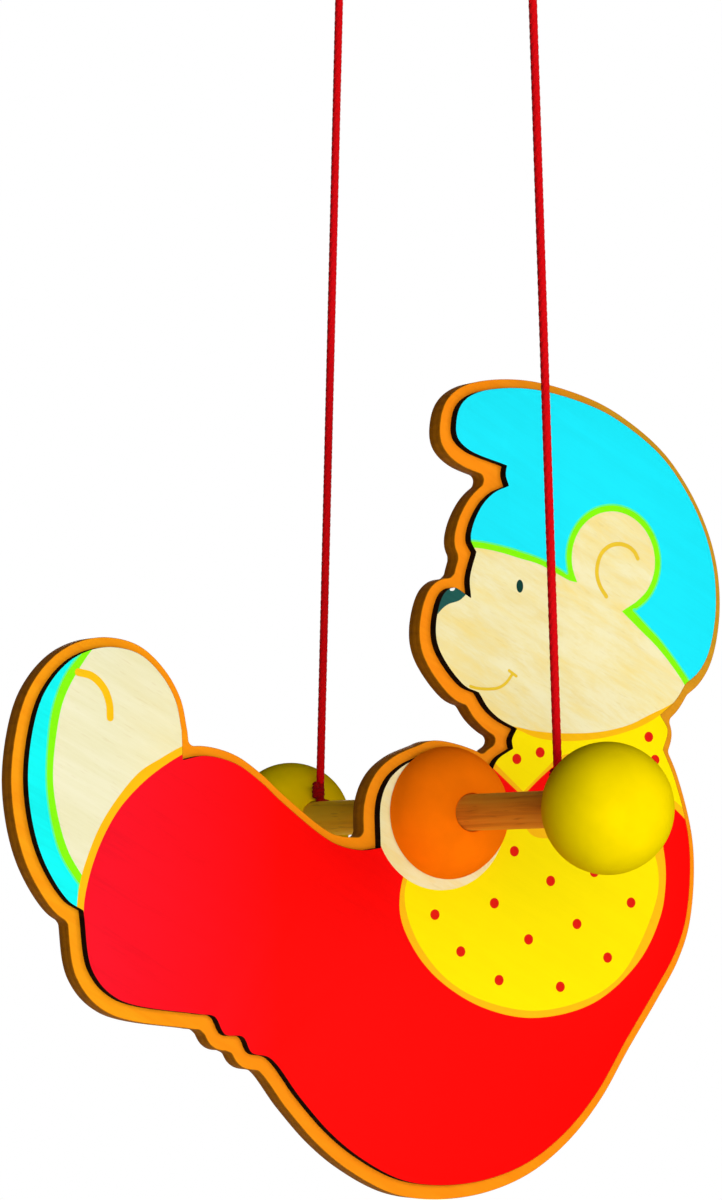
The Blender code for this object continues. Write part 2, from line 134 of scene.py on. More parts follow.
# The bear's outline, clockwise as seen from the front, in smooth curves. Curves meet at corners,
# and a straight line joins two that don't touch.
DRAWING = (
    # sole and toes
    ((-90.5, -22), (-94.3, -19.7), (-100.8, -9.4), (-103.8, 6), (-101.7, 20.9), (-98.6, 27.2),
     (-94, 32), (-89, 34.5), (-83.5, 35.3), (-77.1, 33.9), (-71.7, 29.4), (-68.3, 23.9),
     (-66.8, 17.5)),
    # shin and knee, a straight instep before them
    ((-66.5, 11), (-61, 12), (-53.5, 10.4), (-47, 6.3), (-42.2, 2.3), (-29, -6.8), (-22, -8.4),
     (-17, -7.9)),
    # paw
    ((-17, -7.9), (-16.9, 2.5), (-14.7, 7.5), (-10.8, 10.8), (-5, 13.2), (-1.5, 14.3), (8, 12.4),
     (12, 10.1)),
    # chest
    ((12, 10.1), (13.5, 12.5), (17.5, 15)),
    # collar
    ((17.5, 15), (17.2, 17), (18.5, 19.5)),
    # chin
    ((18.5, 19.5), (14, 21.6), (11, 24), (8.5, 27.5)),
    # muzzle and nose
    ((8.5, 27.5), (4.6, 29.1), (-1.8, 37), (-2.7, 42.5), (-0.6, 49.7), (2, 51.2), (6.5, 49)),
    # brow
    ((6.5, 49), (6.2, 53.5), (7.9, 59.5)),
    # front of the cap
    ((7.9, 59.5), (6.5, 62), (7, 65.5), (9.6, 70.4), (12.7, 73.3), (16.5, 75)),
    # fold under the cap's tip
    ((16.5, 75), (15.7, 77.5), (16, 79.6)),
    # cap
    ((16, 79.6), (5.9, 82.8), (3, 85.5), (2.7, 89), (4, 93), (8, 95.9), (22, 97.6), (40, 94.1),
     (50.4, 89.1), (58.3, 83.3), (63.6, 77.2), (67.9, 70.3), (70.9, 63.1), (72.5, 55.5),
     (72.5, 46.5), (70.5, 38), (67.8, 33.7), (64.2, 30.8)),
    # back of the head
    ((64.2, 30.8), (61.5, 27), (57.2, 23.4)),
    # nape
    ((57.2, 23.4), (59.2, 20), (57.9, 15.4)),
    # back, seat, trouser cuff and heel
    ((57.9, 15.4), (61.1, 8.5), (65, -6.5), (64.1, -23), (61, -31.5), (55.3, -40.4),
     (47.5, -51.6), (39.8, -63.2), (31.5, -72), (21.6, -78.7), (10, -82.5), (-2.5, -83.4),
     (-12.1, -81.8), (-22.5, -76.6), (-30, -70.9), (-37.3, -63.3), (-44.9, -54.4), (-49.4, -53.2),
     (-51.6, -49.7), (-56, -49.1), (-58.6, -45.2), (-62.5, -44.6), (-82, -41.2), (-88.2, -35.1),
     (-90.5, -22)),
)

# The print, painted in this order, so a later shape covers an earlier one. A shape is made of
# smooth curves and single corners with straight lines between them, and it may reach past the board.
ANKLE_LEFT = (
    (-63, 15.3), (-67.3, 13.7), (-72, 11.2), (-76.9, 8.3), (-81.6, 3.4), (-86.6, -3.8),
    (-90.4, -12.8), (-91.6, -17.5), (-92.2, -24),
)
ANKLE_RIGHT = (
    (-90.4, -25), (-90.2, -19.7), (-88.3, -12.1), (-85.5, -5.6), (-81.9, 0.1), (-77.1, 5.1),
    (-72.2, 8.9), (-66.4, 12.3), (-62, 14.2),
)


def arc(middle_right, middle_up, radius, start, end, pieces):
    """Points on an arc, its angles in degrees from upwards, clockwise."""
    return [
        (middle_right + radius * math.sin(turn), middle_up + radius * math.cos(turn))
        for turn in np.radians(np.linspace(start, end, pieces + 1))
    ]


SHAPES = (
    # kerchief: its border, then its field
    ("orange_border", (
        (8, 13.8),
        ((20, 4.1), (25.3, 8.8), (30, 12), (36, 12.8), (44, 11), (53, 7), (61.1, 1.7), (67, -3.5)),
        (75, 30), (8, 30),
    )),
    ("yellow", (
        (10, 13.9),
        ((20.2, 5.2), (25.4, 9.8), (30, 13.4), (36, 14.2), (44.4, 12.5), (53.6, 8.5), (62, 2.9),
         (68, -2)),
        (75, 30), (10, 30),
    )),
    # bib: its border, then its field
    ("orange_border", (
        ((14, 3), (18, 2.2), (20.5, 0.2), (22.5, -1.6), (26, -2.4), (34, -3), (46, -4.2),
         (57.8, -7)),
        ((57.8, -7), (58.4, -11), (58.4, -15.9), (57.1, -22.8), (51.4, -33.1), (39.1, -42.8),
         (23, -46.2), (9.6, -43.8), (-1.4, -37.9), (-7.7, -31.6), (-11.7, -24), (-12, -18),
         (-9.8, -10)),
    )),
    ("yellow", (
        ((14, 1), (18.4, -0.6), (20.8, -3), (22.3, -4.6), (24.4, -5.3), (34, -5.2), (46, -5.8),
         (55.4, -8.4)),
        ((55.4, -8.4), (56.4, -12.4), (56.2, -18.2), (51.2, -29.7), (45.8, -37), (37.7, -41.8),
         (23, -44.6), (8.5, -41.8), (-0.3, -37), (-7, -29.6), (-10.4, -22), (-10.7, -17),
         (-8, -10)),
    )),
    # foot, the sole's stripe, the sole and the ankle band
    ("bare", (
        ANKLE_LEFT,
        (-120, -24), (-120, 50), (-63, 50),
    )),
    ("lime", (
        ((-85.7, 37.5), (-88.5, 34.7), (-92.3, 29.4), (-95.4, 23.4), (-97.1, 15.8), (-97.8, 6.1),
         (-96.4, -2.5), (-94.1, -9.2), (-92, -12.7), (-89.9, -15.6)),
        (-91.3, -24), (-120, -30), (-120, 37.5),
    )),
    ("cyan", (
        ((-88, 37), (-90.9, 34.4), (-95.4, 28.9), (-98.3, 21.7), (-99.4, 13.7), (-99.6, 5),
         (-98.3, -3.6), (-96.2, -10), (-92.8, -15.2), (-91.8, -16.4)),
        (-92, -30), (-120, -30), (-120, 37),
    )),
    ("orange_border", (
        ANKLE_LEFT,
        ANKLE_RIGHT,
    )),
    # head: the line under the chin, then the face
    ("orange_border", (
        ((13, 19.6), (18.5, 19.3), (23.2, 17.7), (29.8, 16.9), (40.6, 17.7), (48.7, 19.6),
         (54.2, 21.8), (62, 26.5), (80, 38)),
        (80, 110), (-20, 110), (-20, 19.6),
    )),
    ("bare", (
        ((13, 20.6), (18.5, 19.9), (23.2, 19.1), (29.8, 18.7), (40.6, 19.2), (48.7, 21),
         (54.2, 23.4), (59.7, 25.8), (80, 37)),
        (80, 110), (-20, 110), (-20, 20.6),
    )),
    # cap, with a hole for the ear: its edge band, then its field
    ("lime", (
        ((0, 60.6), (8.7, 60.4), (14, 59.7), (19.3, 58.5), (24.6, 57.3), (28.9, 55.5),
         (32.6, 53.9), (34.5, 53.5)),
        arc(44.6, 59, 11.3, -119, 148, 14),
        ((46.8, 47.2), (51.6, 43.2), (57, 38.6), (62.5, 32.5), (66, 27.5)),
        (85, 27.5), (85, 110), (0, 110),
    )),
    ("cyan", (
        ((0, 62.5), (8.7, 62.2), (14, 61.5), (19.3, 60.4), (24.6, 59), (28.9, 57.3), (31.6, 55.9)),
        arc(44.6, 59, 13.1, -105, 152, 14),
        ((50.2, 47.6), (54.4, 43.8), (57, 41.5), (62.5, 35.4), (68, 28.5)),
        (85, 28.5), (85, 110), (0, 110),
    )),
    # nose and the light on it
    ("nose", (
        ((-6, 44.6), (-2.5, 44.9), (-1.6, 45.7), (-0.5, 46.7), (0.9, 47.5), (2.3, 47.9),
         (3.6, 48.4), (5.3, 49.8)),
        (4, 54), (-6, 54),
    )),
    ("glint", (
        ((1, 50.5), (1.6, 50.4), (2.2, 50.7), (2.4, 51.4)),
        (0.9, 51.4),
    )),
)

# Drawn lines: colour, width and points
STROKES = (
    ("ochre", 1.7, ((-91.9, 29.6), (-88.6, 28.8), (-85.8, 26.3), (-84.4, 22.9), (-84.2, 19.9))),
    ("line", 0.7, ((6.3, 28.9), (8, 28.5), (11.8, 28.4), (13.9, 28.8), (15.6, 29.8), (17.3, 31.8))),
    ("line", 0.7, ((16.5, 32.7), (18.4, 31.5))),
    ("line", 1.0, ((51.2, 59.6), (50.3, 61.1), (48.6, 62.3), (46.1, 62.8), (43.5, 62.2),
                   (41.4, 60.5), (40.3, 58), (40.1, 55.4), (40.9, 52.9), (42.6, 50.5))),
)

# Round spots: colour, half width, half height and middles
SPOTS = (
    ("bare", 16.9, 16.4, ((-1.4, -0.9),)),
    ("eye", 0.9, 1.5, ((19.4, 52.1),)),
    ("dots", 1.2, 1.2, (
        # on the kerchief
        (54, 18.3), (24.7, 14.2), (18.5, 12.6), (55.7, 13), (38.5, 14.9), (46.5, 10.8),
        # on the bib
        (17.8, -8.4), (27.4, -15.1), (12.5, -20.2), (-3, -22.8), (34.4, -24.9), (49, -20),
        (21.5, -28.4), (3.7, -31.1), (42.6, -32.6), (13.7, -37.6), (29.9, -39.2), (39.1, -13),
        (31.5, -8.4), (48.5, -10.2),
    )),
)


def between(a, b, low, high, place):
    """The value at a place, where a holds at low and b at high."""
    return ((high - place) * a + (place - low) * b) / (high - low)


def smooth_run(points, step):
    """Points along the centripetal Catmull-Rom curve through the given points."""
    points = np.array(points, float)
    ends = np.vstack([2 * points[0] - points[1], points, 2 * points[-1] - points[-2]])
    run = [points[0]]
    for k in range(1, len(ends) - 2):
        four = ends[k - 1 : k + 3]
        knots = [0.0]
        for a, b in zip(four[:-1], four[1:]):
            knots.append(knots[-1] + max(np.linalg.norm(b - a), 1e-9) ** 0.5)
        pieces = max(2, math.ceil(np.linalg.norm(four[2] - four[1]) / step))
        for s in np.linspace(knots[1], knots[2], pieces + 1)[1:]:
            first = [between(four[i], four[i + 1], knots[i], knots[i + 1], s) for i in range(3)]
            second = [between(first[i], first[i + 1], knots[i], knots[i + 2], s) for i in range(2)]
            run.append(between(second[0], second[1], knots[1], knots[2], s))
    return np.array(run)


def unit(vectors):
    """Rows of vectors, each made one long."""
    return vectors / np.linalg.norm(vectors, axis=1)[:, None]


def onward_ways(outline):
    """The direction from each point of a closed outline to the next."""
    return unit(np.roll(outline, -1, axis=0) - outline)


def signed_area(outline):
    """Twice a closed outline's area, negative where it runs clockwise."""
    after = np.roll(outline, -1, axis=0)
    return np.sum(outline[:, 0] * after[:, 1] - outline[:, 1] * after[:, 0])


def closed_shape(parts):
    """The closed line through curves and corners, with straight lines between those apart.

    Where a part starts within a step of the one before, that one's last point is left out.
    """
    line = []
    for part in parts:
        points = smooth_run(part, OUTLINE_STEP) if np.ndim(part) > 1 else np.array([part], float)
        if line and np.linalg.norm(points[0] - line[-1]) < OUTLINE_STEP:
            line.pop()
        line.extend(points)
    if np.linalg.norm(line[0] - line[-1]) < OUTLINE_STEP:
        line.pop()
    return np.array(line)


def stroke_shape(points, width):
    """The closed line round a drawn line with round ends."""
    line = smooth_run(points, OUTLINE_STEP)
    ahead = unit(np.gradient(line, axis=0))
    left = np.stack([-ahead[:, 1], ahead[:, 0]], axis=1) * width / 2
    half_turn = np.linspace(0, math.pi, 7)[1:-1, None]
    last = line[-1] + left[-1] * np.cos(half_turn) + ahead[-1] * width / 2 * np.sin(half_turn)
    first = line[0] - left[0] * np.cos(half_turn) - ahead[0] * width / 2 * np.sin(half_turn)
    return np.vstack([line + left, last, (line - left)[::-1], first])


def spot_shape(middle, half_width, half_height):
    """An ellipse as a closed line."""
    sides = max(20, round(4 * max(half_width, half_height) / OUTLINE_STEP))
    turns = np.linspace(0, math.tau, sides, endpoint=False)
    ring = np.stack([half_width * np.cos(turns), half_height * np.sin(turns)], axis=1)
    return ring + middle


def print_shapes():
    """Every painted shape of the print as (paint, closed line), in painting order.

    Where cyan meets lime the two inks run into each other over a narrow strip.
    """
    shapes = []
    for paint, parts in SHAPES:
        line = closed_shape(parts)
        if paint == "cyan":
            outwards = -math.copysign(MEETING_WIDTH, signed_area(line))
            shapes.append(("cyan_lime", offset(line, outwards)))
        shapes.append((paint, line))
    shapes += [(paint, stroke_shape(points, width)) for paint, width, points in STROKES]
    for paint, half_width, half_height, middles in SPOTS:
        shapes += [(paint, spot_shape(middle, half_width, half_height)) for middle in middles]
    return shapes


def distance_to(outline, points):
    """How far each point lies from the closed outline."""
    along = np.roll(outline, -1, axis=0) - outline
    found = np.full(len(points), np.inf)
    for a, d in zip(outline, along):
        t = np.clip((points - a) @ d / (d @ d), 0, 1)
        found = np.minimum(found, np.linalg.norm(points - a - np.outer(t, d), axis=1))
    return found


def offset(outline, distance):
    """The outline moved outwards by a distance, or inwards by a negative one.

    A corner that opens becomes an arc. One that closes drops out, and so do the points beside it
    that come nearer to another stretch than the distance.
    """
    ahead = onward_ways(outline)
    outward = np.stack([-ahead[:, 1], ahead[:, 0]], axis=1)
    moved = []
    for k, point in enumerate(outline):
        before, after = outward[k - 1], outward[k]
        turn = math.atan2(before[0] * after[1] - before[1] * after[0], before @ after)
        opening = -turn if distance > 0 else turn
        if opening < -ARC_STEP:
            continue
        if opening < ARC_STEP:
            moved.append(point + distance * (before + after) / (1 + before @ after))
            continue
        for angle in np.linspace(0, turn, math.ceil(opening / ARC_STEP) + 1):
            across = np.array([-before[1], before[0]])
            moved.append(point + distance * (before * math.cos(angle) + across * math.sin(angle)))
    moved = np.array(moved)
    moved = moved[distance_to(outline, moved) > abs(distance) * 0.99]
    stride = np.linalg.norm(moved - np.roll(moved, 1, axis=0), axis=1)
    return untangled(moved[stride > OUTLINE_STEP / 20])


def untangled(outline):
    """The outline without the small loops that it makes where two sides meet in a corner."""
    far = int(np.argmax(np.linalg.norm(outline - outline.mean(axis=0), axis=1)))
    open_line = list(np.roll(outline, -far, axis=0))
    k = 0
    while k < len(open_line) - 3:
        for reach in range(min(LOOP_REACH, len(open_line) - 2 - k), 1, -1):
            ends = open_line[k : k + 2] + open_line[k + reach : k + reach + 2]
            place = intersect_line_line_2d(*ends)
            if place is not None:
                open_line[k + 1 : k + reach + 1] = [np.array(place)]
                break
        k += 1
    return np.array(open_line)


def inward_ways(outline):
    """At each point of a clockwise outline, the step that moves both walls inwards by one."""
    ahead = onward_ways(outline)
    inward = np.stack([ahead[:, 1], -ahead[:, 0]], axis=1)
    before = np.roll(inward, 1, axis=0)
    return (before + inward) / np.maximum(1 + (before * inward).sum(axis=1), 0.5)[:, None]


def flat_face(rim, bore, shapes=()):
    """A flat face inside a rim and outside a bore, cut along closed shapes.

    Gives its points, its triangles, for each triangle the number of the last shape that covers
    it or -1, the points in order round the rim and round the bore, and each point's own number
    among those that went in.
    """
    loops = []
    points = []
    for ring in (rim, bore, *shapes):
        numbers = list(range(len(points), len(points) + len(ring)))
        loops.append(numbers if signed_area(ring) > 0 else numbers[::-1])
        points += [Vector(point) for point in ring]
    found, _, faces, from_points, _, from_faces = delaunay_2d_cdt(points, [], loops, 1, 1e-5)
    kept = []
    covered = []
    for face, sources in zip(faces, from_faces):
        if 0 in sources and 1 not in sources:
            kept.append(face)
            covered.append(max(max(sources) - 2, -1))
    sides = {(a, b) for face in kept for a, b in zip(face, face[1:] + face[:1])}
    onward = {a: b for a, b in sides if (b, a) not in sides}
    source = {k: min(numbers) for k, numbers in enumerate(from_points) if numbers}
    rounds = []
    for first_number in (0, len(rim)):
        order = [next(k for k in onward if source.get(k) == first_number)]
        while onward[order[-1]] != order[0]:
            order.append(onward[order[-1]])
        rounds.append(order)
    return [tuple(point) for point in found], kept, covered, *rounds, source


def stations(order, points, source, rim):
    """Where each point of a walk against the rim's order lies, counted in points of the rim."""
    count = len(rim)
    places = []
    for k in order:
        if source.get(k, count) < count:
            places.append(float(source[k]))
            continue
        passed = math.ceil(places[-1] - 1e-9)
        start, end = rim[passed % count], rim[(passed - 1) % count]
        share = (np.array(points[k]) - start) @ (end - start) / ((end - start) @ (end - start))
        places.append((passed - min(max(share, 0), 1)) % count)
    return np.array(places)


def edge_profile(near, far, near_edge, far_edge):
    """A board's edge from its near face to its far one, as (inset, y), with rounded corners."""
    away = math.copysign(DRAWN_MM, far - near)
    corners = []
    for face, edge, inwards in ((near, near_edge, away), (far, far_edge, -away)):
        turns = np.linspace(0, math.pi / 2, 4) if edge else [math.pi / 2]
        depths = [inwards * edge * (1 - math.cos(turn)) for turn in turns]
        insets = [edge * (1 - math.sin(turn)) for turn in turns]
        corners.append([(inset, face + depth) for inset, depth in zip(insets, depths)])
    return corners[0] + corners[1][::-1]


def band(one, other):
    """The faces between two closed rings of points, which may be one point in all places."""
    faces = []
    for k in range(len(one)):
        after = (k + 1) % len(one)
        faces.append(list(dict.fromkeys([one[k], one[after], other[after], other[k]])))
    return faces


def mesh_from(name, verts, polys, looks):
    """A mesh from points and faces, with these looks."""
    mesh = bpy.data.meshes.new(name)
    mesh.from_pydata(verts, [], polys)
    for look in looks:
        mesh.materials.append(LOOKS[look])
    return mesh


def mesh_of(bm, name):
    """A mesh from a bmesh, which it frees."""
    mesh = bpy.data.meshes.new(name)
    bm.to_mesh(mesh)
    bm.free()
    return mesh


def far_face(verts, ring, bore, y):
    """A board's far face: its triangles, and the numbers of the bore's points, which it adds."""
    rim = np.array([(verts[k][0], verts[k][2]) for k in ring]) / DRAWN_MM
    points, triangles, _, _, _, source = flat_face(rim, bore)
    numbers = {}
    far_bore = {}
    for k, (x, z) in enumerate(points):
        if source[k] < len(ring):
            numbers[k] = ring[source[k]]
        else:
            numbers[k] = far_bore[source[k] - len(ring)] = len(verts)
            verts.append((x * DRAWN_MM, y, z * DRAWN_MM))
    return [[numbers[k] for k in face[::-1]] for face in triangles], far_bore


def board(name, outline, faces_y, edges, face_paint, edge_paint, shapes=()):
    """A flat board with a bore for the rod, from a drawn outline.

    The first of its two faces carries the shapes, and each face has an edge rounded by the size
    given for it.
    """
    near, far = faces_y
    profile = edge_profile(near, far, *edges)
    ways = inward_ways(outline)
    count = len(outline)
    turns = np.linspace(0, math.tau, BORE_SIDES, endpoint=False)
    bore = np.stack([np.cos(turns), np.sin(turns)], axis=1) * (ROD_RADIUS + GAP) / DRAWN_MM

    near_rim = outline + ways * profile[0][0]
    points, triangles, covered, round_rim, round_bore, source = flat_face(
        near_rim, bore, [shape for _, shape in shapes]
    )
    places = stations(round_rim, points, source, near_rim)
    low = np.floor(places).astype(int) % count
    share = (places - np.floor(places))[:, None]

    verts = [(x * DRAWN_MM, near, z * DRAWN_MM) for x, z in points]
    polys = [list(face) for face in triangles]
    looks = [shapes[shape][0] if shape >= 0 else face_paint for shape in covered]
    ring = list(round_rim)
    for inset, y in profile[1:]:
        whole = outline + ways * inset
        part = whole[low] * (1 - share) + whole[(low + 1) % count] * share
        fresh = list(range(len(verts), len(verts) + len(part)))
        verts += [(x * DRAWN_MM, y, z * DRAWN_MM) for x, z in part]
        polys += band(fresh, ring)
        looks += [edge_paint] * len(ring)
        ring = fresh
    flat_from = len(polys)
    triangles, far_bore = far_face(verts, ring, np.array([points[k] for k in round_bore]), far)
    polys += triangles
    looks += [face_paint] * len(triangles)
    flat_to = len(polys)
    polys += band(far_bore, round_bore)
    looks += [edge_paint] * len(round_bore)

    names = list(dict.fromkeys(looks))
    mesh = mesh_from(name, verts, polys, names)
    mesh.polygons.foreach_set("material_index", [names.index(look) for look in looks])
    smooth = np.ones(len(polys), bool)
    smooth[: len(covered)] = False
    smooth[flat_from:flat_to] = False
    return closed_piece(name, mesh, smooth, (0, 0, ROD_Z))


def closed_piece(name, mesh, smooth=None, location=(0, 0, 0), sharp_from=SHARP_FROM):
    """An object from a closed mesh, with its faces turned outwards and its corners kept sharp."""
    bm = bmesh.new()
    bm.from_mesh(mesh)
    loose = [vert for vert in bm.verts if not vert.link_faces]
    bmesh.ops.delete(bm, geom=loose, context="VERTS")
    bmesh.ops.recalc_face_normals(bm, faces=bm.faces)
    bm.to_mesh(mesh)
    bm.free()
    if smooth is None:
        smooth = np.ones(len(mesh.polygons), bool)
    mesh.polygons.foreach_set("use_smooth", smooth)
    mesh.set_sharp_from_angle(angle=sharp_from)
    return placed(name, mesh, location)


def turned(name, profile, look, location, closed=False, shifts=None):
    """A piece turned round the Y axis, from (radius, y) points. A closed profile has a bore.

    Each ring of points can have its own shift in X and Z.
    """
    verts = []
    rings = []
    for (radius, y), (right, up) in zip(profile, shifts or [(0, 0)] * len(profile)):
        if radius == 0:
            rings.append([len(verts)] * ROUND_SIDES)
            verts.append((right, y, up))
            continue
        rings.append(list(range(len(verts), len(verts) + ROUND_SIDES)))
        for k in range(ROUND_SIDES):
            turn = math.tau * k / ROUND_SIDES
            verts.append((right + radius * math.cos(turn), y, up + radius * math.sin(turn)))
    polys = []
    pairs = list(zip(rings, rings[1:] + rings[:1]))
    for one, other in pairs if closed else pairs[:-1]:
        polys += band(one, other)
    return closed_piece(name, mesh_from(name, verts, polys, [look]), location=location)


def drilled(piece, places, radius):
    """Cuts round holes along Z through the piece, at these places along Y."""
    for y in places:
        bm = bmesh.new()
        sizes = {"radius1": radius, "radius2": radius, "depth": DRILL_LENGTH}
        bmesh.ops.create_cone(bm, cap_ends=True, segments=HOLE_SIDES, **sizes)
        mesh = mesh_of(bm, "hole")
        for look in piece.data.materials:
            mesh.materials.append(look)
        cutter = placed("hole", mesh, (0, y, piece.location.z))
        cut = piece.modifiers.new("hole", "BOOLEAN")
        cut.operation = "DIFFERENCE"
        cut.solver = "EXACT"
        cut.object = cutter
        bpy.context.view_layer.update()
        shaped = piece.evaluated_get(bpy.context.evaluated_depsgraph_get())
        piece.data = bpy.data.meshes.new_from_object(shaped)
        piece.modifiers.clear()
        bpy.data.objects.remove(cutter)
    piece.data.set_sharp_from_angle(angle=SHARP_FROM)


def colour_of(*screen):
    """A colour given by its 0 to 255 screen values."""
    values = [part / 255 for part in screen]
    linear = [v / 12.92 if v <= 0.04045 else ((v + 0.055) / 1.055) ** 2.4 for v in values]
    return (*linear, 1)


def set_inputs(tree, node, inputs):
    """Gives a node's inputs their values, or links them to the outputs of other nodes."""
    for name, value in inputs.items():
        if isinstance(value, bpy.types.NodeSocket):
            tree.links.new(value, node.inputs[name])
        else:
            node.inputs[name].default_value = value


def add_node(tree, kind, inputs):
    """A new shader node of this kind."""
    node = tree.nodes.new("ShaderNode" + kind)
    set_inputs(tree, node, inputs)
    return node


class Look:
    """A procedural material in the making."""

    def __init__(self, name, roughness, gloss):
        self.material = bpy.data.materials.new(name)
        self.material.use_nodes = True
        self.tree = self.material.node_tree
        self.shader = self.tree.nodes["Principled BSDF"]
        self.finish({"Roughness": roughness, "Specular IOR Level": gloss})
        self.place = self.node("TexCoord").outputs["Object"]

    def node(self, kind, inputs=None):
        """A new node of this kind."""
        return add_node(self.tree, kind, inputs or {})

    def finish(self, inputs):
        """Sets or links inputs of the surface itself."""
        set_inputs(self.tree, self.shader, inputs)

    def mapped(self, scale, turn=(0, 0, 0), place=None):
        """Places turned by these degrees and then scaled."""
        angles = [math.radians(angle) for angle in turn]
        turned_place = self.node("Mapping", {"Vector": place or self.place, "Rotation": angles})
        scaled = self.node("Mapping", {"Vector": turned_place.outputs["Vector"], "Scale": scale})
        return scaled.outputs["Vector"]

    def noise(self, place, scale=1, detail=3, roughness=0.55, distortion=0):
        """Soft noise, mostly between 0.3 and 0.7."""
        kind = {"Scale": scale, "Detail": detail, "Roughness": roughness, "Distortion": distortion}
        return self.node("TexNoise", {"Vector": place, **kind}).outputs["Fac"]

    def ramp(self, value, stops):
        """A colour for a value, from stops of a place and a colour's screen values."""
        node = self.node("ValToRGB", {"Fac": value})
        elements = node.color_ramp.elements
        while len(elements) < len(stops):
            elements.new(0.5)
        for element, (place, colour) in zip(elements, stops):
            element.position = place
            element.color = colour_of(*colour)
        return node.outputs["Color"]

    def spread(self, value, low, high, start=0, end=1):
        """A value from low to high spread between start and end."""
        ends = {"From Min": low, "From Max": high, "To Min": start, "To Max": end}
        return self.node("MapRange", {"Value": value, **ends}).outputs["Result"]

    def mix(self, one, other, share):
        """One colour where the share is 0, and the other where it is 1."""
        node = self.node("Mix")
        node.data_type = "RGBA"
        set_inputs(self.tree, node, {"Factor": share, 6: one, 7: other})
        return node.outputs[2]

    def across(self, axis="X"):
        """The place along one axis."""
        return self.node("SeparateXYZ", {"Vector": self.place}).outputs[axis]

    def bump(self, height, depth, strength):
        """Relief of this depth in metres, on top of any that is there already."""
        inputs = {"Height": height, "Distance": depth, "Strength": strength}
        if self.shader.inputs["Normal"].is_linked:
            inputs["Normal"] = self.shader.inputs["Normal"].links[0].from_socket
        self.finish({"Normal": self.node("Bump", inputs).outputs["Normal"]})


def board_colour(look, colour):
    """Gives a board its colour, dimmed a little because it lies square to the key lamp."""
    look.finish({"Base Color": look.mix(colour, (0, 0, 0, 1), BOARD_DIMMING)})


def along_grain(look, scale, **kind):
    """Noise drawn out along the veneer's grain, which falls to the right."""
    return look.noise(look.mapped(scale, (0, -VENEER_SLOPE, 0)), **kind)


def veneer_streaks(look):
    """The long fine streaks of the boards' top veneer."""
    broad = along_grain(look, (28, 60, 330), detail=3)
    fine = along_grain(look, (90, 200, 1500), detail=4)
    return look.mix(broad, fine, 0.4)


def printed(name, colour, depth=0.025, at_foot=None):
    """Silk-printed colour on veneer, a little darker along its streaks.

    Towards the foot it can turn into another colour, with stronger streaks.
    """
    look = Look(name, 0.5, 0.02)
    streaks = veneer_streaks(look)
    ink = []
    for part, part_depth in ((colour, depth), (at_foot or colour, FOOT_STREAKS * depth)):
        deep = [value * (1 - part_depth) for value in part]
        ink.append(look.ramp(streaks, ((0.36, deep), (0.62, part))))
    place = look.spread(look.across(), FOOT_X, BODY_X)
    board_colour(look, look.mix(ink[1], ink[0], place) if at_foot else ink[0])
    look.bump(streaks, STREAK_RELIEF, 0.15)
    return look.material


def bare_veneer():
    """Unpainted birch veneer: fine streaks, warm and pale clouds, a few short pores, and painted
    light that makes it paler towards the foot.
    """
    look = Look("print_bare_wood", 0.55, 0.08)
    streaks = veneer_streaks(look)
    wood = look.ramp(streaks, ((0.30, (236, 218, 152)), (0.60, (241, 228, 168))))
    clouds = along_grain(look, (60, 100, 200), detail=4, roughness=0.65, distortion=0.3)
    for cloud, full in (((243, 218, 132), 0.66), ((242, 234, 190), 0.36)):
        wood = look.mix(wood, colour_of(*cloud), look.spread(clouds, 0.5, full, 0, 0.75))
    # Painted light: towards the foot the wood turns paler and loses its clouds, as where it is lit
    # brighter.
    pale = look.ramp(streaks, ((0.30, (230, 224, 178)), (0.60, (237, 232, 196))))
    wood = look.mix(pale, wood, look.spread(look.across(), FOOT_X, BODY_X))
    pores = along_grain(look, (260, 500, 2600), detail=1)
    marks = look.spread(pores, 0.66, 0.74, 0, 0.16)
    board_colour(look, look.mix(wood, colour_of(206, 178, 112), marks))
    look.bump(streaks, STREAK_RELIEF, 0.3)
    return look.material


def burnt_plate_edge():
    """The picture boards' edge, charred nearly black by the cutting beam."""
    look = Look("burnt_plate_edge", 0.8, 0.02)
    scorch = look.noise(look.mapped((900, 90, 900)), detail=4)
    char = look.ramp(scorch, ((0.35, (14, 8, 4)), (0.6, (28, 16, 7)), (0.8, (58, 33, 13))))
    look.finish({"Base Color": char})
    look.bump(scorch, 0.06 * MM, 0.5)
    return look.material


def core_orange():
    """The core board's faces, stained orange over fine streaks, with painted shade in ochre on the
    rim behind the cap.
    """
    look = Look("core_orange_stain", 0.55, 0.03)
    streaks = veneer_streaks(look)
    pale, stain, ochre = [
        look.ramp(streaks, ((0.34, deep), (0.62, light))) for deep, light in CORE_TONES
    ]
    face = look.mix(pale, stain, look.spread(look.across(), FOOT_X, -55 * MM))
    # Painted shade: towards the right and upwards the rim behind the cap turns to the darker ochre,
    # where the picture board's edge shades it.
    high = look.spread(look.across("Z"), -10 * MM, 40 * MM)
    back = look.spread(look.across(), 12 * MM, 48 * MM, 0, high)
    board_colour(look, look.mix(face, ochre, back))
    look.bump(streaks, STREAK_RELIEF, 0.3)
    return look.material


def core_side():
    """The core board's edge: orange stain over scorched plies, the middle one paler."""
    look = Look("core_side_stain", 0.7, 0.03)
    scorch = look.noise(look.mapped((700, 260, 700)), detail=4)
    depth = look.spread(look.across("Y"), -CORE_FACE, CORE_FACE)
    stain = look.ramp(depth, CORE_PLIES)
    worn = look.mix(stain, colour_of(112, 64, 4), look.spread(scorch, 0.45, 0.75, 0, 0.45))
    look.finish({"Base Color": worn})
    look.bump(scorch, 0.08 * MM, 0.5)
    return look.material


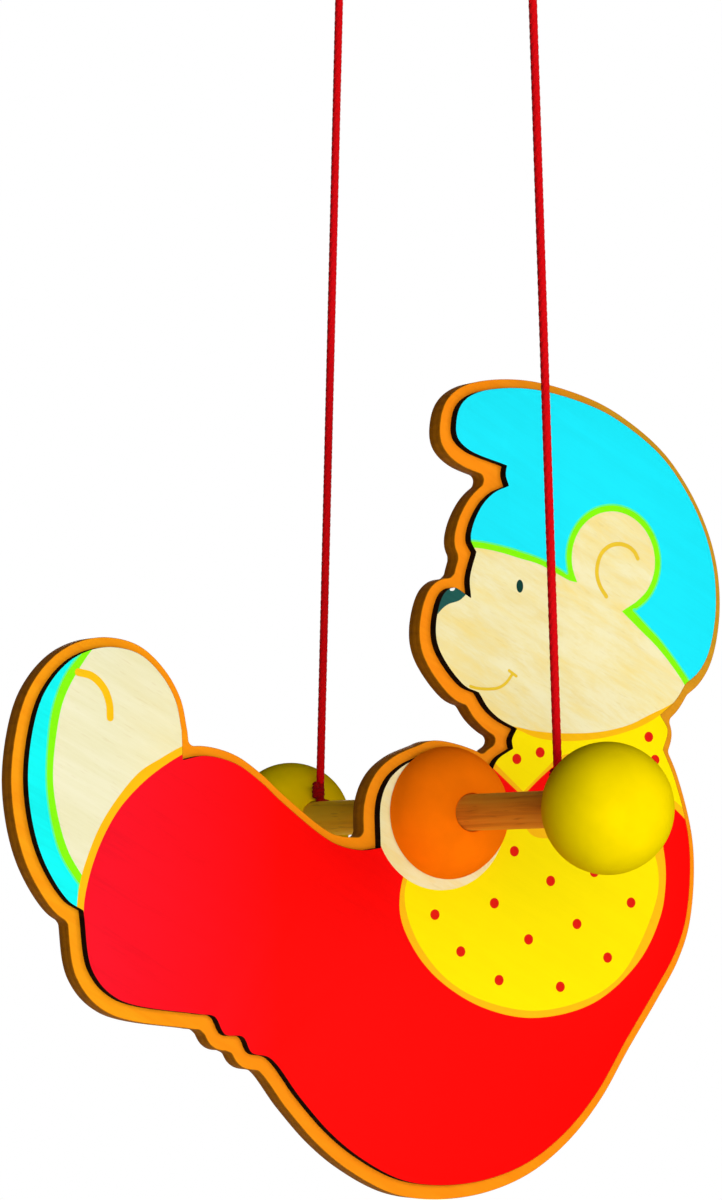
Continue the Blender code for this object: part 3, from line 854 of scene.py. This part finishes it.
def lacquered(name, colour):
    """Matt paint over turned wood, with a faint orange-peel and the lathe's faint rings."""
    look = Look(name, 0.6, 0.0)
    cloud = look.noise(look.mapped((90, 90, 90)), detail=3)
    deep = [part * 0.965 for part in colour]
    look.finish({"Base Color": look.ramp(cloud, ((0.35, deep), (0.6, colour)))})
    rings = look.noise(look.mapped((60, 2200, 60)), detail=2)
    peel = look.noise(look.place, scale=2400, detail=1)
    look.bump(rings, 0.01 * MM, 0.2)
    look.bump(peel, 0.01 * MM, 0.2)
    return look.material


def dowel_wood(name, tones, rear_tones):
    """Turned beech: grain along Y with brown flecks, varnished, from brown to pale tones."""
    look = Look(name, 0.65, 0.02)
    grain = look.noise(look.mapped((420, 14, 420)), detail=5, distortion=0.4)
    flecks = look.noise(look.mapped((1500, 110, 1500)), detail=1)
    marks = look.spread(flecks, 0.64, 0.72, 0, 0.5)
    woods = []
    for part in (tones, rear_tones):
        wood = look.ramp(grain, list(zip((0.3, 0.47, 0.66), part)))
        woods.append(look.mix(wood, colour_of(*part[0]), marks))
    # Painted bounce light on the rod: its front part takes the redder tones, and its rear part behind
    # the boards takes the yellower ones.
    place = look.spread(look.across("Y"), -6 * MM, 10 * MM)
    look.finish({"Base Color": look.mix(*woods, place)})
    look.bump(grain, 0.05 * MM, 0.4)
    return look.material


def cotton(name, colour):
    """Red cotton, its fibres running along each strand."""
    look = Look(name, 0.85, 0.04)
    round_cord = look.node("UVMap").outputs["UV"]
    fibres = look.noise(look.mapped((46, 18, 1), (0, 0, 20), round_cord), detail=3)
    fuzz = look.noise(look.place, scale=5200, detail=2)
    deep = [part * 0.72 for part in colour]
    look.finish({"Base Color": look.ramp(fibres, ((0.3, deep), (0.6, colour))), "Sheen Weight": 0.03})
    look.bump(fibres, 0.09 * MM, 0.6)
    look.bump(fuzz, 0.04 * MM, 0.4)
    return look.material


# How looks change: degrees, places along X, tones from deep to light, plies from front to rear
VENEER_SLOPE = 28
STREAK_RELIEF = 0.02 * MM
FOOT_STREAKS = 2.4
FOOT_X = -85 * MM
BODY_X = -42 * MM
BOARD_DIMMING = 0.16
# Core tones: at the foot, on the body, and the darker ochre of the painted shade behind the cap
CORE_TONES = (
    ((246, 148, 8), (252, 160, 14)),
    ((248, 136, 8), (254, 146, 14)),
    ((192, 138, 26), (206, 150, 34)),
)
CORE_PLIES = (
    (0.0, (200, 120, 8)), (0.08, (172, 102, 4)),
    (0.34, (166, 98, 3)), (0.38, (182, 108, 5)),
    (0.64, (178, 106, 5)), (0.68, (164, 96, 3)), (1.0, (172, 102, 4)),
)
# The rod's tones carry painted bounce light: redder in front from the orange half ball, yellower
# behind from the yellow ball
ROD_FRONT_TONES_ORANGE_BOUNCE = ((190, 106, 26), (236, 152, 38), (244, 172, 52))
ROD_REAR_TONES_YELLOW_BOUNCE = ((200, 148, 30), (248, 198, 36), (252, 208, 46))
BAR_TONES = ((168, 122, 66), (212, 174, 110), (228, 194, 132))

# Inks: colour, how much darker the streaks are, and the colour at the foot
PRINTS = {
    "red": ((254, 6, 4), 0.025, (251, 17, 38)),
    "yellow": ((255, 231, 0), 0.015),
    "orange_border": ((252, 188, 16),),
    "cyan": ((26, 233, 250), 0.02, (16, 248, 244)),
    "lime": ((134, 248, 14),),
    "cyan_lime": ((92, 245, 150),),
    "ochre": ((250, 194, 18),),
    "line": ((235, 196, 50),),
    "nose": ((34, 92, 84), 0.15),
    "eye": ((18, 62, 54), 0.15),
    "glint": ((246, 246, 240),),
    "dots": ((226, 28, 12),),
}

LOOKS = {
    **{name: printed("print_" + name, *ink) for name, ink in PRINTS.items()},
    "bare": bare_veneer(),
    "burnt": burnt_plate_edge(),
    "core": core_orange(),
    "core_side": core_side(),
    "yellow_ball": lacquered("ball_paint", (236, 208, 0)),
    "orange_ball": lacquered("half_ball_paint", (255, 118, 4)),
    "rod": dowel_wood("rod_wood", ROD_FRONT_TONES_ORANGE_BOUNCE, ROD_REAR_TONES_YELLOW_BOUNCE),
    "bar": dowel_wood("hand_bar_wood", BAR_TONES, BAR_TONES),
    "cord": cotton("cord_cotton", (216, 4, 12)),
    # The knots' cotton is the cord's red made darker: painted shade
    "knot": cotton("knot_cotton", (158, 3, 10)),
}


def finish_piece(piece, node, body):
    """Puts a piece in the place of its CAD node."""
    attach(piece, body)
    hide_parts(node)


# The two cords and their knots
CARRIERS = 4
BRAID_RISE = 2.3 * MM
BRAID_DEPTH = 0.22
CORD_SIDES = 40
CORD_STEP = 0.22 * MM
KNOT_STEP = 0.16 * MM
ROUTE_STEP = 0.05 * MM


def braid(around, along):
    """How high a round braid's surface stands, from 0 to 1, at turns around and metres along."""
    u, v = around * CARRIERS, along / BRAID_RISE
    one, other = u + v, u - v
    over = (np.floor(one) + np.floor(other)) % 2 > 0
    one, other = 2 * (one % 1) - 1, 2 * (other % 1) - 1
    across = np.where(over, one, other)
    lengthwise = np.where(over, other, one)
    return (1 - 0.75 * across**2) * (1 - 0.35 * lengthwise**2)


def cord_line(points, scales, step):
    """A cord's route in even steps: metres along, points, and the radius at each."""
    route, thick = np.array(points, float), np.ones(len(points))
    if scales is not None:
        run = smooth_run(np.column_stack([route, np.array(scales) * MM]), ROUTE_STEP)
        route, thick = run[:, :3], run[:, 3] / MM
    along = np.concatenate([[0], np.cumsum(np.linalg.norm(np.diff(route, axis=0), axis=1))])
    places = np.linspace(0, along[-1], math.ceil(along[-1] / step) + 1)
    line = np.stack([np.interp(places, along, route[:, axis]) for axis in range(3)], axis=1)
    return places, line, np.interp(places, along, thick) * STRING_RADIUS


def carried_sides(line):
    """At each point of a line that starts along Z, two ways square to it, without a twist."""
    ahead = unit(np.gradient(line, axis=0))
    side = np.array([1.0, 0.0, 0.0])
    sides = []
    for forward in ahead:
        side = side - forward * (side @ forward)
        side /= np.linalg.norm(side)
        sides.append((side, np.cross(forward, side)))
    return np.array(sides)


def braided_cord(name, points, look, scales=None, step=CORD_STEP):
    """Round braided cord along a smooth route, with its thickness scaled from point to point."""
    places, line, thick = cord_line(points, scales, step)
    sides = carried_sides(line)
    count = len(places) - 1
    around = np.arange(CORD_SIDES) / CORD_SIDES
    height = braid(around[None, :], places[:, None])
    reach = thick[:, None] * (1 - BRAID_DEPTH * (1 - height))
    out = np.cos(math.tau * around)[None, :, None] * sides[:, None, 0]
    out = out + np.sin(math.tau * around)[None, :, None] * sides[:, None, 1]
    rings = line[:, None] + out * reach[:, :, None]
    verts = [tuple(vert) for vert in rings.reshape(-1, 3)]
    numbers = np.arange(len(verts)).reshape(-1, CORD_SIDES).tolist()
    polys = []
    turns = []
    for ring in range(count):
        polys += band(numbers[ring], numbers[ring + 1])
        for k in range(CORD_SIDES):
            turns.append(((k, ring), (k + 1, ring), (k + 1, ring + 1), (k, ring + 1)))
    for ring in (0, count):
        polys += band(numbers[ring], [len(verts)] * CORD_SIDES)
        verts.append(tuple(line[ring]))
        turns += [((k, ring), (k + 1, ring), (k, ring)) for k in range(CORD_SIDES)]
    mesh = mesh_from(name, verts, polys, [look])
    pitch = places[-1] / count / BRAID_RISE
    flat = [(k / CORD_SIDES, ring * pitch) for corners in turns for k, ring in corners]
    mesh.uv_layers.new(name="around").data.foreach_set("uv", np.array(flat).ravel())
    return closed_piece(name, mesh, sharp_from=math.radians(60))


def knot_turns(steps, start, middle_x, half_widths, rise, thick):
    """A cord's turns round a knot's middle, an eighth of a turn to a step."""
    turns = []
    for step, height in enumerate(np.linspace(*rise, steps + 1)):
        angle = math.radians(start + 45 * step)
        x = middle_x + half_widths[0] * math.cos(angle)
        turns.append((x, half_widths[1] * math.sin(angle), height, thick))
    return turns


def knotted_cord(name, route, y, height):
    """A knot's cord through places in millimetres, each with the cord's thickness there."""
    points = [(x * MM, y + out * MM, height + z * MM) for x, out, z, _ in route]
    # The knots take the darker cotton, which is painted shade.
    return braided_cord(name, points, "knot", [thick for *_, thick in route], KNOT_STEP)


def lower_knot(name, y):
    """The cord's lower end: down through the rod, up round its far side and wound into a knot."""
    route = [(0, 0, height, 1.0) for height in (8.6, 7.2, 5.6, 4.2, 2.0, 0.0, -2.0, -3.6)]
    for degrees in range(-72, 80, 15):
        angle = math.radians(degrees)
        share = (degrees + 72) / 150
        thick = 0.84 - 0.42 * share
        reach = 4.14 + thick - 0.1 * share
        route.append((reach * math.cos(angle), 0, reach * math.sin(angle), thick))
    route += knot_turns(
        steps=20, start=20, middle_x=-0.45, half_widths=(0.86, 0.80), rise=(5.05, 7.4), thick=0.70
    )
    route += [(-1.5, -0.9, 7.7, 0.62), (-2.2, -1.2, 8.3, 0.60)]
    return knotted_cord(name, route, y, ROD_Z)


def upper_knot(name, y):
    """The cord's upper end: up through the hand bar and wound into a knot on top."""
    route = [(0, 0, height, 1.0) for height in (-5.2, -2.5, 0.0, 2.5, 5.0, 6.6)]
    route += knot_turns(
        steps=15, start=-60, middle_x=0, half_widths=(1.32, 1.32), rise=(8.1, 6.1), thick=0.88
    )
    route += [(-1.9, 1.3, 6.9, 0.8), (-2.4, 1.9, 8.3, 0.8)]
    return knotted_cord(name, route, y, 0)


def middle_y(node):
    """The middle of a node along Y."""
    low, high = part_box(node)
    return (low.y + high.y) / 2


def hung_cord(side):
    """One taut cord from the hand bar to the rod, and both its knots."""
    low_node, high_node = side + "_lower_knot", side + "_upper_knot"
    low_y, high_y = middle_y(low_node), middle_y(high_node)
    head = np.array([0, high_y, -BAR_RADIUS - GAP])
    foot = np.array([0, low_y, ROD_Z + ROD_RADIUS + KNOT_HEIGHT + 2 * GAP])
    piece = braided_cord(side + "_cord", [head, foot], "cord")
    finish_piece(piece, side + "_string", "strings")
    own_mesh(piece)
    low = lower_knot(side + "_cord_lower_knot", low_y)
    finish_piece(low, low_node, "figure")
    high = upper_knot(side + "_cord_upper_knot", high_y)
    finish_piece(high, high_node, "hand_bar")
    return low_y, high_y


front_low_y, front_high_y = hung_cord("front")
rear_low_y, rear_high_y = hung_cord("rear")


# The boards
def core_outline(outline):
    """The core board's outline, which stands out round the picture and rises beside the paw."""
    core = offset(offset(outline, CORE_MARGIN + CORE_INNER_CORNER), -CORE_INNER_CORNER)
    core += CORE_SHIFT
    near = np.exp(-np.sum((core - SEAT_CORNER) ** 2, axis=1) / (2 * SEAT_CORNER_REACH**2))
    core[:, 1] += SEAT_CORNER_RISE * near
    return core


picture = closed_shape(DRAWING)
core = core_outline(picture)
shapes = print_shapes()
core_board = board(
    "core_board_cut", core, (-CORE_FACE, CORE_FACE), (CORE_EDGE, CORE_EDGE), "core", "core_side"
)
finish_piece(core_board, "core_board", "figure")
for side, sign in (("front", -1), ("rear", 1)):
    faces_y = (sign * PLATE_FACE, sign * (CORE_FACE + SNUG))
    plate = board(
        side + "_picture_board", picture, faces_y, (PLATE_EDGE, 0), "red", "burnt", shapes
    )
    finish_piece(plate, side + "_picture_plate", "figure")


# The half balls, the balls, the rod and the hand bar
def lip_points(lip):
    """A bore's softened lip with its mouth at this height, as (radius, y), outermost first."""
    return [(BORE_RADIUS + MOUTH_LIP_WIDTH, lip - 0.06 * MM), (BORE_RADIUS, lip - MOUTH_LIP)]


def blend_share(radius):
    """How much of a shift reaches the surface this far out: none at the lip, all past the blend."""
    if radius <= BORE_RADIUS + MOUTH_LIP_WIDTH:
        return 0
    return min(1, (radius - BORE_RADIUS) / MOUTH_BLEND)


def half_ball(name, sign):
    """A half ball drilled for the rod, its flat side on the picture."""
    sphere = (HALF_BALL_RIM**2 + HALF_BALL_HEIGHT**2) / (2 * HALF_BALL_HEIGHT)
    base = PLATE_FACE + SNUG
    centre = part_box("rear_half_ball")[0].y + HALF_BALL_HEIGHT - sphere
    rim_turn = math.degrees(math.acos((base + MOUTH_LIP - centre) / sphere))
    mouth_turn = math.degrees(math.asin((BORE_RADIUS + MOUTH_LIP) / sphere))
    rim = [(HALF_BALL_RIM - 0.4 * MM, base), (HALF_BALL_RIM - 0.1 * MM, base + 0.08 * MM)]
    profile = [(BORE_RADIUS, base)] + rim + arc(0, centre, sphere, rim_turn, mouth_turn, 34)
    profile += lip_points(profile[-1][1])
    shifts = np.outer([blend_share(radius) for radius, _ in profile], HALF_BALL_SHIFT).tolist()
    profile = [(radius, sign * y) for radius, y in profile]
    return turned(name, profile, "orange_ball", (0, 0, ROD_Z), closed=True, shifts=shifts)


def ball(name, ball_y, sign, drop):
    """A ball with a blind bore that opens towards the boards and lies above its middle."""
    mouth_turn = math.degrees(math.asin((BORE_RADIUS + MOUTH_LIP) / BALL_RADIUS))
    lip = BALL_RADIUS * math.cos(math.radians(mouth_turn))
    bore = [(0, -BORE_PAST_CENTRE), (BORE_RADIUS, -BORE_PAST_CENTRE)]
    bore += reversed(lip_points(lip))
    outside = arc(0, 0, BALL_RADIUS, mouth_turn, 180, 60)
    outside[-1] = (0, -BALL_RADIUS)
    shifts = [(0, 0)] * len(bore)
    for radius, y in outside:
        shifts.append((0, -drop if y < 0 else -drop * blend_share(radius)))
    profile = [(radius, sign * y) for radius, y in bore + outside]
    return turned(name, profile, "yellow_ball", (0, ball_y, ROD_Z), shifts=shifts)


def dowel(name, radius, start, end, edge, look, height):
    """A dowel along Y with softened ends."""
    profile = [(0, start)]
    profile += arc(radius - edge, start + edge, edge, 180, 90, 4)
    profile += [(radius, start + (end - start) * share) for share in np.linspace(0.1, 0.9, 17)]
    profile += arc(radius - edge, end - edge, edge, 90, 0, 4)
    profile.append((0, end))
    return turned(name, profile, look, (0, 0, height))


for side, sign, ball_y, drop in (
    ("front", -1, FRONT_BALL_Y, FRONT_BALL_DROP),
    ("rear", 1, REAR_BALL_Y, REAR_BALL_DROP),
):
    half = half_ball(side + "_half_ball_turned", sign)
    finish_piece(half, side + "_half_ball", "figure")
    whole = ball(side + "_ball_turned", ball_y, -sign, drop)
    finish_piece(whole, side + "_ball", "figure")

rod = dowel("rod_turned", ROD_RADIUS, ROD_LOW.y, ROD_HIGH.y, ROD_END_ROUND, "rod", ROD_Z)
drilled(rod, (front_low_y, rear_low_y), STRING_HOLE_RADIUS)
finish_piece(rod, "rod", "figure")
bar = dowel("hand_bar_turned", BAR_RADIUS, BAR_LOW.y, BAR_HIGH.y, BAR_END_ROUND, "bar", 0)
drilled(bar, (front_high_y, rear_high_y), STRING_HOLE_RADIUS)
finish_piece(bar, "hand_bar", "hand_bar")

# The floor, the light and the surround
FLOOR_Z = -0.9
FLOOR_RADIUS = 14
FLOOR_FADE = {"From Min": 0.25, "From Max": 1.3, "To Min": 0.35, "To Max": 1.0}
FILL = 0.03
WHITE = (1, 1, 1, 1)


def maths(tree, operation, one, other):
    """The result of one operation on two values."""
    node = add_node(tree, "Math", {0: one, 1: other})
    node.operation = operation
    return node.outputs[0]


def seen_rays(tree):
    """1 for rays from the camera, from gloss and through glass, and 0 for the rest."""
    path = add_node(tree, "LightPath", {})
    value = path.outputs["Is Camera Ray"]
    for name in ("Is Glossy Ray", "Is Transmission Ray"):
        value = maths(tree, "MAXIMUM", value, path.outputs[name])
    return value


def show_blend(tree, share, one, other, output):
    """Shows one shader where the share is 0, and the other where it is 1."""
    blend = add_node(tree, "MixShader", {0: share, 1: one.outputs[0], 2: other.outputs[0]})
    set_inputs(tree, tree.nodes[output], {"Surface": blend.outputs[0]})


def floor_look():
    """Pale and matt, with the toy's shadow, fading into the backdrop's white away from it."""
    look = Look("pale_floor", 0.9, 0.0)
    look.finish({"Base Color": colour_of(238, 238, 238)})
    away = look.node("VectorMath", {0: look.place})
    away.operation = "LENGTH"
    fade = look.node("MapRange", {"Value": away.outputs["Value"], **FLOOR_FADE})
    fade.interpolation_type = "SMOOTHSTEP"
    share = maths(look.tree, "MULTIPLY", fade.outputs["Result"], seen_rays(look.tree))
    glow = look.node("Emission", {"Color": WHITE})
    show_blend(look.tree, share, look.shader, glow, "Material Output")
    return look.material


def floor():
    """A flat disc below the toy."""
    bm = bmesh.new()
    bmesh.ops.create_circle(bm, cap_ends=True, segments=ROUND_SIDES, radius=FLOOR_RADIUS)
    mesh = mesh_of(bm, "floor")
    mesh.materials.append(floor_look())
    return placed("floor", mesh, (0, 0, FLOOR_Z))


def area_lamp(name, azimuth, height, distance, width, tall, level):
    """A rectangular lamp aimed at the boards, from degrees round from -Y towards +X.

    Its level is the brightness that it gives to a white surface facing it.
    """
    data = bpy.data.lights.new(name, "AREA")
    data.shape = "RECTANGLE"
    data.size = width
    data.size_y = tall
    aim = Vector((0, 0, ROD_Z + 10 * MM))
    turn = math.radians(azimuth)
    lamp = placed(name, data, (distance * math.sin(turn), -distance * math.cos(turn), height))
    lamp.rotation_euler = (aim - lamp.location).to_track_quat("-Z", "Y").to_euler()
    data.energy = level * math.pi**2 * (aim - lamp.location).length ** 2


def surround():
    """A dim warm surround that shows as plain white."""
    world = bpy.data.worlds.new("surround")
    bpy.context.scene.world = world
    world.use_nodes = True
    tree = world.node_tree
    dim = tree.nodes["Background"]
    set_inputs(tree, dim, {"Color": (1, 0.86, 0.66, 1), "Strength": FILL})
    white = add_node(tree, "Background", {"Color": WHITE, "Strength": 1})
    show_blend(tree, seen_rays(tree), dim, white, "World Output")


floor()
area_lamp("key_lamp", azimuth=-4, height=-0.14, distance=2.1, width=2.4, tall=1.4, level=1.34)
area_lamp("rear_lamp", azimuth=151, height=-0.05, distance=2.2, width=0.8, tall=0.8, level=0.7)
surround()
bpy.context.scene.view_settings.view_transform = "Standard"
